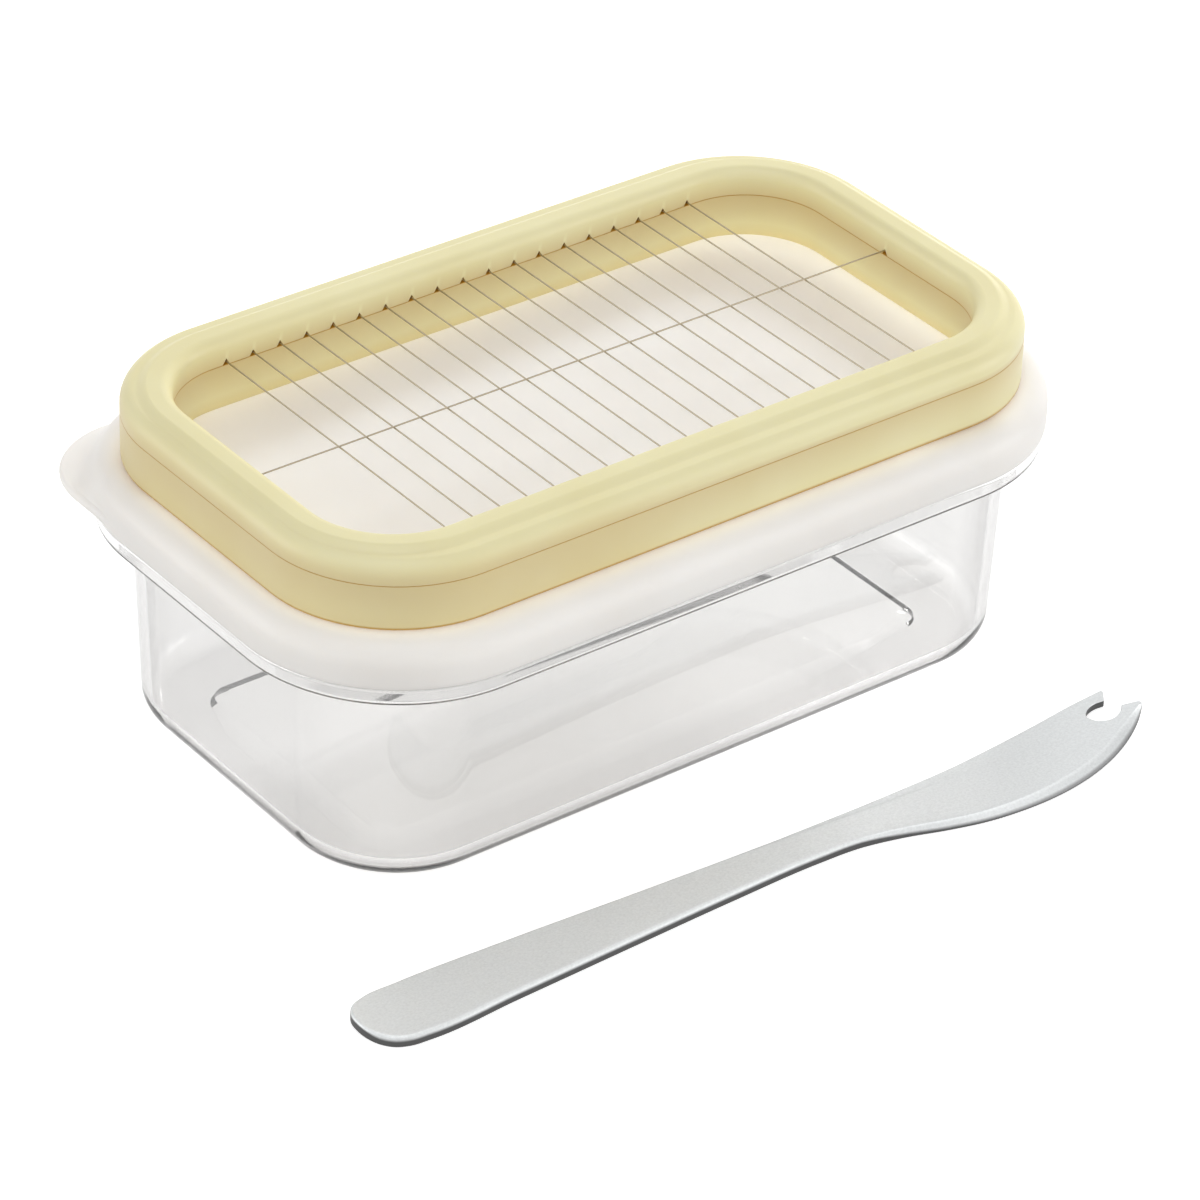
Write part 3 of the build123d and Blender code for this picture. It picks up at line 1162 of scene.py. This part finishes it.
@dataclass
class Case:
    """The clear box: foot, ramped recess in its underside, drafted wall and turned-down rim.

    Its section counts the rim's outline 0, the foot's 1, the recess's 2 and the ramp's 3.

    Args:
        layout: Shared outlines and levels.
        floor: Thickness of the floor.
        wall: Thickness of the wall.
        draft: How far the wall leans out from its foot to the rim's lower edge.
        rim_inset: How far the rim lies inside the lid's outline.
        flange: How much less the foot's half sizes and corner are than the rim's, without draft.
        rim_drop: How far the rim reaches down past the lid's skirt.
        rim_plate: Thickness of the rim's top.
        rim_lip: Thickness of the rim's turned-down wall.
        rim_round: Radius of the rim's upper edge.
        bead_proud: How far the bead under the skirt stands out.
        bead_width: Width of the bead's underside.
        bead_round: Radius of the bead's edges.
        bead_gap: Gap from the bead to the lid's skirt.
        foot_round: Radius of the outer bottom edge.
        floor_round: Radius between floor and wall inside.
        floor_row: How far inside that radius the floor has its last row.
        foot_width: How much less the ramp's half sizes and corner are than the foot's.
        ramp: How much less the recess's half sizes and corner are than the ramp's.
        ramp_rise: Height of the ramp at the recess.
        ramp_spread: How far the step up into the recess spreads out at the front and left.
        spread_run: Sum of the shares of half length and width at which it is spread and upright.
        recess_depth: Depth of the recess.
        recess_row: How far inside its outline the recess has its first row.
        edge: Radius of the small edges.
        corner_steps: How many steps a corner has.
    """

    layout: Layout
    floor: float = 0.0024
    wall: float = 0.002
    draft: float = 0.0012
    rim_inset: float = 0.0018
    flange: tuple[float, float, float] = (0.0058, 0.0052, 0.007)
    rim_drop: float = 0.0033
    rim_plate: float = 0.002
    rim_lip: float = 0.0018
    rim_round: float = 0.0027
    bead_proud: float = 0.0014
    bead_width: float = 0.0015
    bead_round: float = 0.0005
    bead_gap: float = 0.00025
    foot_round: float = 0.0056
    floor_round: float = 0.0038
    floor_row: float = 0.004
    foot_width: tuple[float, float, float] = (0.009, 0.009, 0.0084)
    ramp: tuple[float, float, float] = (0.0058, 0.0073, 0.0095)
    ramp_rise: float = 0.00012
    ramp_spread: float = 0.0045
    spread_run: Pair = (-0.6, 0.1)
    recess_depth: float = 0.0013
    recess_row: float = 0.004
    edge: float = 0.00022
    corner_steps: int = 32

    def section(self) -> tuple[Section, slice]:
        """Draws the section from the middle of the underside, round the outside, to the floor.

        Returns:
            The section, and the rows at the foot of the step up into the recess.
        """
        top, bottom = self.layout.rim_z, self.layout.skirt_z - self.rim_drop
        lean, ceiling = self.draft / bottom, top - self.rim_plate
        edge, soft, depth = self.edge, self.edge / 4, self.recess_depth
        section = Section()
        section.to(2, -self.recess_row, depth)
        section.arc(2, (-soft, depth - soft), soft, 90, 0, 3)
        section.arc(2, (soft, self.ramp_rise + soft), soft, 180, 266, 3)
        step_foot = slice(len(section.rows) - 4, len(section.rows))
        section.to(3, 0.0, 0.0)
        section.arc(1, (-self.foot_round, self.foot_round), self.foot_round, -90, 0, 14)
        section.arc(1, (lean * ceiling + edge, ceiling - edge), edge, 180, 90, 3)
        section.arc(0, (-self.rim_lip - edge, ceiling - edge), edge, 90, 0, 3)
        proud, lip = self.bead_proud, self.bead_round
        section.arc(0, (proud - self.bead_width + lip, bottom + lip), lip, 180, 270, 5)
        section.arc(0, (proud - lip, bottom + lip), lip, 270, 360, 6)
        shelf = self.layout.skirt_z - self.bead_gap
        section.arc(0, (proud - lip, shelf - lip), lip, 0, 90, 6)
        section.to(0, 0.0, shelf)
        section.arc(0, (-self.rim_round, top - self.rim_round), self.rim_round, 0, 90, 10)
        section.arc(1, (lean * top - self.wall + edge, top - edge), edge, 90, 180, 3)
        inner = lean * self.floor - self.wall - self.floor_round
        centre = (inner, self.floor + self.floor_round)
        section.arc(1, centre, self.floor_round, 0, -90, 12)
        section.to(1, inner - self.floor_row, self.floor)
        return section, step_foot

    def build(self, finish: Finish) -> list[Piece]:
        """Builds the case as one capped section.

        The foot of the recess's step moves out by the spread, which fades with the sum of the
        place's shares of the recess's half length and half width.

        Args:
            finish: Its material.

        Returns:
            The case.
        """
        rim = self.layout.lid.grown(-self.rim_inset)
        foot = rim.stepped(*(-part for part in self.flange)).grown(-self.draft)
        ramp = foot.stepped(*(-part for part in self.foot_width))
        recess = ramp.stepped(*(-part for part in self.ramp))
        section, step_foot = self.section()
        stations = Stations.even(self.corner_steps)
        grid = carry(stations, [rim, foot, recess, ramp], section)
        share = stations.points(recess) / (recess.half_x, recess.half_y)
        spread = self.ramp_spread * fade(share.sum(axis=1), *self.spread_run)
        grid[:, step_foot, :2] += (spread[:, None] * stations.normals())[:, None, :]
        return [Role(Body.CASE, Slot.CLEAR, "case").piece("case_shell", grid, False, finish)]


@dataclass
class Knife:
    """The one-piece steel knife, measured from its butt along the blade; its back is the +v side.

    Args:
        layout: Shared outlines and levels.
        past_lid: How far the butt lies outside the lid's box.
        turn: Angle of the knife about Z in degrees.
        thickness: Thickness of the plate at the handle.
        tip_thickness: Thickness at the tip.
        taper_from: Where along the knife it starts to get thinner.
        back: Points of its back, from the tine to the handle.
        butt: Points round its butt.
        edge: Points along its underside, from the handle over the cutting edge to the spur.
        notch: Points round the notch, from the spur to the tine.
        line_steps: Distance between the points of the outline, and of the notch.
        tip_round: Radius of the corners at the tip.
        spur_round: The spur's radius, as a multiple of that.
        notch_round: Radius of the notch's two corners, as a multiple of that.
        butt_run: Where along the knife the butt's turn ends.
        butt_fade: Place across the butt at which it belongs to the edge's side, and to the back's.
        inset: How far the whole outline is drawn in.
        under_round: Radius of the lower edge.
        land: Height of the side face under the edge, at places along the knife.
        bevel: Width of the rounded edge or the bevel at places along the knife.
        bevel_run: Where along the knife the edge's side is a straight bevel, and a round edge.
        other_round: Radius of the edge along the back, the butt and the notch.
        round_dark_reflection: Painted dark reflection of the side face that is lost early and late
            over the upper edge.
        round_fades: Shares of the upper edge between which each of them goes.
    """

    layout: Layout
    past_lid: Pair = (0.0118, 0.0189)
    turn: float = -3.45
    thickness: float = 0.002
    tip_thickness: float = 0.0014
    taper_from: float = 0.1
    back: Points = (
        (0.1708, 0.0153), (0.162, 0.0141), (0.1525, 0.0124), (0.143, 0.0109), (0.131, 0.0093),
        (0.120, 0.0085), (0.096, 0.0076), (0.066, 0.0075), (0.034, 0.0078), (0.012, 0.0076),
    )
    butt: Points = (
        (0.005, 0.0071), (0.0022, 0.0059), (0.0009, 0.0039), (0.0006, 0.0012), (0.0009, -0.0012),
        (0.0019, -0.0037), (0.0037, -0.0057), (0.0063, -0.0068),
    )
    edge: Points = (
        (0.01, -0.0071), (0.0284, -0.0056), (0.0518, -0.0036), (0.0759, -0.0016), (0.0948, -0.0004),
        (0.104, -0.0005), (0.1121, -0.0019), (0.1209, -0.0043), (0.128, -0.0058), (0.1355, -0.0064),
        (0.1439, -0.0061), (0.1536, -0.0042), (0.1626, -0.0006), (0.1711, 0.005), (0.1752, 0.0088),
    )
    notch: Points = (
        (0.1706, 0.0095), (0.169, 0.0079), (0.166, 0.0068), (0.1633, 0.0079), (0.1626, 0.0096),
        (0.164, 0.0113), (0.1664, 0.0122), (0.1687, 0.0122),
    )
    line_steps: Pair = (0.0006, 0.0004)
    tip_round: float = 0.0004
    spur_round: float = 1.6
    notch_round: float = 0.5
    butt_run: float = 0.02
    butt_fade: Pair = (-0.0045, 0.0)
    inset: float = 0.00002
    under_round: float = 0.00015
    land: Points = (
        (0.0, 0.00105), (0.096, 0.00105), (0.104, 0.0011), (0.108, 0.00095), (0.1115, 0.0007),
        (0.116, 0.0005), (0.120, 0.0004), (0.131, 0.00028), (0.145, 0.00022), (0.176, 0.00022),
    )
    bevel: Points = (
        (0.0, 0.0009), (0.09, 0.0008), (0.102, 0.0006), (0.113, 0.0009), (0.126, 0.0014),
        (0.138, 0.002), (0.148, 0.0025), (0.166, 0.0026), (0.1715, 0.0016), (0.1745, 0.0003),
    )
    bevel_run: Pair = (0.112, 0.098)
    other_round: Points = ((0.0, 0.0006), (0.09, 0.0005), (0.12, 0.00018), (0.176, 0.00015))
    round_dark_reflection: Pair = (0.78, 0.22)
    round_fades: tuple[Pair, Pair] = ((0.0, 0.35), (0.6, 1.0))

    @staticmethod
    def smooth_line(points: Points, step: float) -> np.ndarray:
        """Draws a smooth line through points.

        Each stretch is a cubic whose end slopes are the chords between the points on either side,
        read at equal steps of the chord length.

        Args:
            points: The points that the line passes.
            step: Distance between the points of the line.

        Returns:
            The line's points.
        """
        knots = np.array(points)
        lengths = np.concatenate([[0.0], np.cumsum(np.hypot(*np.diff(knots, axis=0).T))])
        slopes = np.gradient(knots, lengths, axis=0)
        where = np.linspace(0.0, lengths[-1], int(lengths[-1] / step) + 1)
        span = np.clip(np.searchsorted(lengths, where, side="right") - 1, 0, len(knots) - 2)
        width = (lengths[span + 1] - lengths[span])[:, None]
        t = (where[:, None] - lengths[span][:, None]) / width
        start, end = knots[span], knots[span + 1]
        leave, arrive = slopes[span] * width, slopes[span + 1] * width
        return (
            (2 * t**3 - 3 * t**2 + 1) * start
            + (t**3 - 2 * t**2 + t) * leave
            + (3 * t**2 - 2 * t**3) * end
            + (t**3 - t**2) * arrive
        )

    @staticmethod
    def rounded(
        before: np.ndarray, corner: np.ndarray, after: np.ndarray, radius: float, steps: int
    ) -> np.ndarray:
        """Rounds a corner between two straight neighbours with an arc that touches both.

        Args:
            before: A point on the line that comes in.
            corner: The corner point.
            after: A point on the line that goes out.
            radius: Radius of the arc.
            steps: How many steps it has.

        Returns:
            Points from the incoming line to the outgoing one.
        """
        come, go = before - corner, after - corner
        come, go = come / np.linalg.norm(come), go / np.linalg.norm(go)
        half = math.acos(float(np.clip(come @ go, -1.0, 1.0))) / 2
        middle = (come + go) / np.linalg.norm(come + go)
        centre = corner + middle * radius / math.sin(half)
        first, last = (corner + way * radius / math.tan(half) for way in (come, go))
        start = math.atan2(*(first - centre)[::-1])
        sweep = math.remainder(math.atan2(*(last - centre)[::-1]) - start, 2 * math.pi)
        angle = start + sweep * np.linspace(0.0, 1.0, steps + 1)
        return centre + radius * np.column_stack([np.cos(angle), np.sin(angle)])

    def outline(self) -> tuple[np.ndarray, np.ndarray]:
        """Draws the knife's outline counter-clockwise from the tine along the back.

        Returns:
            Its points, and for each of them 1 on the edge's side and 0 elsewhere, with a fade at
            the butt.
        """
        around = self.smooth_line(self.back + self.butt + self.edge, self.line_steps[0])
        notch = self.smooth_line(self.notch, self.line_steps[1])
        tine, corner, root, spur = around[0], notch[-1], notch[0], around[-1]
        small = self.tip_round
        tight = small * self.notch_round
        run = around[2:-3]
        ends = [
            self.rounded(around[-4], spur, root, small * self.spur_round, 6),
            self.rounded(spur, root, notch[2], tight, 3),
            notch[2:-2],
            self.rounded(notch[-3], corner, tine, tight, 3),
            self.rounded(corner, tine, around[3], small, 6),
        ]
        past_butt = np.arange(len(run)) > np.argmin(run[:, 0])
        at_butt = fade(run[:, 1], *self.butt_fade)
        below = np.where(run[:, 0] < self.butt_run, at_butt, past_butt)
        line = np.concatenate([run, *ends])
        return line, np.pad(below, (0, len(line) - len(run)))

    def build(self, finish: Finish) -> list[Piece]:
        """Builds the knife: its outline carried inwards over rounded edges and the edge's bevel.

        Each outline point moves in along its normal. Over the handle the step is a quarter round,
        and over the cutting edge it turns into a straight bevel that starts from a thin side face.

        Args:
            finish: Its material.

        Returns:
            The knife.
        """
        line, below = self.outline()
        tangent = np.roll(line, -1, axis=0) - np.roll(line, 1, axis=0)
        inward = np.column_stack([-tangent[:, 1], tangent[:, 0]])
        inward /= np.linalg.norm(inward, axis=1)[:, None]
        line = line + self.inset * inward
        along = line[:, 0]
        taper = [self.taper_from, self.edge[-1][0]]
        high = np.interp(along, taper, [self.thickness, self.tip_thickness])
        land, bevel, rim = (
            np.interp(along, *zip(*places)) for places in (self.land, self.bevel, self.other_round)
        )
        width = rim + (bevel - rim) * below
        side = high - rim
        wall = side + (np.minimum(land, side) - side) * below
        straight = (fade(along, *self.bevel_run) * below)[:, None]
        turn = np.radians(np.linspace(90.0, 0.0, 4))
        share = np.linspace(0.0, 1.0, 7)
        angle = math.pi / 2 * share
        over = (1 - straight) * (1 - np.cos(angle)) + straight * share
        rise = (1 - straight) * np.sin(angle) + straight * share
        ones = np.ones((len(line), 1))
        # Painted dark reflection: full on the lower edge and the side face, fading out up the upper
        # edge.
        losses = zip(self.round_dark_reflection, self.round_fades)
        left = sum(tint * fade(share, *ends) for tint, ends in losses)
        steps_in = np.hstack([ones * self.under_round * (1 - np.cos(turn)), width[:, None] * over])
        lower = ones * self.under_round * (1 - np.sin(turn))
        heights = np.hstack([lower, wall[:, None] + (high - wall)[:, None] * rise])
        painted_dark_reflection = np.hstack([ones * np.ones(len(turn)), ones * left])
        flat = line[:, None, :] + steps_in[:, :, None] * inward[:, None, :]
        cosine, sine = math.cos(math.radians(self.turn)), math.sin(math.radians(self.turn))
        spin = np.array([[cosine, sine], [-sine, cosine]])
        lid = self.layout.lid
        corner = -np.array([lid.half_x, lid.half_y]) - self.past_lid
        grid = np.dstack([flat @ spin + corner, heights])
        role = Role(Body.KNIFE, Slot.KNIFE, "knife")
        return [role.piece("knife_blade", grid, False, finish, painted_dark_reflection)]


# ---------------------------------------------------------------------------------------------
# Studio
# ---------------------------------------------------------------------------------------------


@dataclass(frozen=True)
class Lamp:
    """A square soft lamp that points at the object.

    Args:
        name: The lamp's name.
        place: Where it stands.
        size: Length of its side.
        watts: Its power.
        mirrored: Whether glossy surfaces show it.
    """

    name: str
    place: tuple[float, float, float]
    size: float
    watts: float
    mirrored: bool = True

    def build(self) -> None:
        """Makes the lamp, with its -Z axis towards the origin."""
        data = bpy.data.lights.new(self.name, "AREA")
        data.size, data.energy = self.size, self.watts
        lamp = bpy.data.objects.new(self.name, data)
        lamp.location = self.place
        lamp.visible_glossy = self.mirrored
        lamp.rotation_mode = "QUATERNION"
        lamp.rotation_quaternion = (-Vector(self.place)).to_track_quat("-Z", "Y")
        bpy.context.scene.collection.objects.link(lamp)


@dataclass(frozen=True)
class Studio:
    """White floor, soft lamps and the camera.

    Args:
        aim_z: Height of the point that the camera turns about.
        azimuth: Direction of the camera in degrees, 0 looking along +Y.
        elevation: Its height over the horizon in degrees.
        roll: Its turn about its own axis in degrees.
        distance: Its distance from that point.
        lens: Focal length in millimetres.
        sensor: Width of the sensor in millimetres.
        slide: How far it stands to the left of that line and above it.
        clip: Nearest and farthest distance that it sees.
        floor_half: Half of the floor's side.
        floor_gap: Gap from the object to the floor.
        floor_shade: How white the floor is to the light that falls on it.
        floor_seen: How much brighter it is for rays that show it.
        ambient: Strength of the world's light.
        lamps: The lamps.
    """

    aim_z: float = 0.040
    azimuth: float = -38.305
    elevation: float = 33.216
    roll: float = 2.077
    distance: float = 0.95304
    lens: float = 157.22
    sensor: float = 36.0
    slide: Pair = (-0.0044014, 0.0222713)
    clip: Pair = (0.05, 20.0)
    floor_half: float = 3.0
    floor_gap: float = 0.00006
    floor_shade: float = 0.75
    floor_seen: float = 0.58
    ambient: float = 0.47
    lamps: tuple[Lamp, ...] = (
        Lamp("overhead_softbox", (-0.25, -0.3, 1.2), 1.0, 3.7),
        Lamp("front_softbox", (-0.7, -0.9, 0.6), 0.8, 2.8, mirrored=False),
        Lamp("right_softbox", (1.05, -0.85, 0.35), 0.7, 5.4),
        Lamp("left_softbox", (-1.15, 0.8, 0.35), 0.7, 4.2),
        Lamp("rear_softbox", (0.95, 0.7, 0.55), 0.2, 10.5, mirrored=False),
    )

    def camera(self) -> None:
        """Makes the camera: it stands back from its aim and is slid sideways without turning."""
        turn, rise, roll = map(math.radians, (self.azimuth, self.elevation, self.roll))
        flat = math.cos(rise)
        back = Vector((math.sin(turn) * flat, -math.cos(turn) * flat, math.sin(rise)))
        right = Vector((math.cos(turn), math.sin(turn), 0.0))
        up = back.cross(right)
        across = right * math.cos(roll) + up * math.sin(roll)
        over = up * math.cos(roll) - right * math.sin(roll)
        data = bpy.data.cameras.new("camera")
        data.lens, data.sensor_width = self.lens, self.sensor
        data.clip_start, data.clip_end = self.clip
        camera = bpy.data.objects.new("camera", data)
        slid = across * self.slide[0] + over * self.slide[1]
        place = Vector((0, 0, self.aim_z)) + back * self.distance - slid
        turned = Matrix((across, over, back)).transposed().to_4x4()
        camera.matrix_world = Matrix.Translation(place) @ turned
        bpy.context.scene.collection.objects.link(camera)
        bpy.context.scene.camera = camera

    def floor(self, low: float) -> None:
        """Makes the white floor just under the object, brightened for rays that show it.

        Args:
            low: Height of the object's lowest point.
        """
        half, level = self.floor_half, low - self.floor_gap
        signs = ((-1, -1), (1, -1), (1, 1), (-1, 1))
        mesh = bpy.data.meshes.new("studio_floor")
        mesh.from_pydata([(x * half, y * half, level) for x, y in signs], [], [(0, 1, 2, 3)])
        floor = bpy.data.objects.new("studio_floor", mesh)
        bpy.context.scene.collection.objects.link(floor)
        made = Material("studio_white")
        white = (*[self.floor_shade] * 3, 1.0)
        made.plain(Base_Color=white, Roughness=0.9, Specular_IOR_Level=0.0)
        made.plain(Emission_Color=(1.0, 1.0, 1.0, 1.0))
        glow = made.shifted(made.seen_directly(), self.floor_seen, 0.0)
        made.link(glow, made.shader.inputs["Emission Strength"])
        mesh.materials.append(made.block)
        floor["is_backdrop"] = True

    def world(self) -> None:
        """Lights the scene evenly from all sides and shows as white where it is seen."""
        world = bpy.data.worlds.new("studio")
        bpy.context.scene.world = world
        world.use_nodes = True
        graph = Graph(world.node_tree)
        background = graph.found("BACKGROUND")
        background.inputs["Color"].default_value = (1.0, 1.0, 1.0, 1.0)
        seen = graph.seen_directly()
        level = graph.count("MULTIPLY_ADD", seen, 1.0 - self.ambient, self.ambient)
        graph.link(level, background.inputs["Strength"])

    def build(self, low: float) -> None:
        """Sets up the camera, floor, world and lamps.

        Args:
            low: Height of the object's lowest point.
        """
        self.camera()
        self.floor(low)
        self.world()
        for lamp in self.lamps:
            lamp.build()
        bpy.context.scene.view_settings.view_transform = "Standard"


def main() -> None:
    """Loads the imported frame, dresses every sub-assembly and sets up the studio."""
    logging.basicConfig(level=logging.INFO, format="%(name)s: %(message)s")
    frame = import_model()
    cad_box = [list(corner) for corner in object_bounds()]
    effects = Effects()
    layout = Layout()
    cream = MouldedFinish(
        "cream_plastic",
        pale=srgb(231, 225, 182),
        cloud=srgb(227, 219, 172),
        # Painted shade colour: amber, for shade and for light come through the plastic at the
        # frame's seam, foot, notches and walls.
        painted_shade_colour=srgb(178, 128, 8),
        inside=0.12,
        reach=(0.0024, 0.0024, 0.0010),
        shade=(0.96, 0.94, 0.87, 1.0),
        from_behind=0.06,
        warm=(0.9, 0.88, 0.35, 1.0),
    )
    milky = MouldedFinish(
        "milky_lid_plastic",
        pale=srgb(244, 242, 239),
        cloud=srgb(240, 237, 233),
        # Painted shadow colour of the gap line at the skirt's hem.
        painted_shade_colour=srgb(150, 146, 146),
        inside=0.15,
        reach=(0.004, 0.0034, 0.0028),
        shade=(0.5, 0.49, 0.47, 1.0),
        from_behind=0.2,
        warm=(0.95, 0.93, 0.9, 1.0),
        roughness=0.42,
    )
    cream_rim = replace(cream, name="cream_rim_plastic", shade=(0.5, 0.38, 0.04, 1.0))
    clear = ClearFinish(
        "clear_case_plastic", colour=(0.97, 0.97, 0.965, 1.0), shade=(0.96, 0.96, 0.96, 1.0)
    )
    wire = SteelFinish(
        "wire_steel", colour=(0.46, 0.4, 0.3, 1.0), roughness=0.3, lines=4000.0, length=0.2
    )
    blade = SteelFinish(
        "satin_knife_steel",
        colour=(0.86, 0.88, 0.885, 1.0),
        roughness=0.55,
        lines=2400.0,
        length=0.8,
        depth=0.000009,
        turn=3.45,
    )
    rings = [finish.material(effects) for finish in (cream, cream_rim, wire)]
    pieces = CutterFrame(layout).build(frame["nodes"], *rings)
    pieces += Lid(layout).build(milky.material(effects))
    pieces += Case(layout).build(clear.material(effects))
    pieces += Knife(layout).build(blade.material(effects))
    for piece in pieces:
        LOG.info("%s: %d faces", piece.name, len(piece.data.polygons))
    Studio().build(cad_box[0][2])


if __name__ == "__main__":
    main()
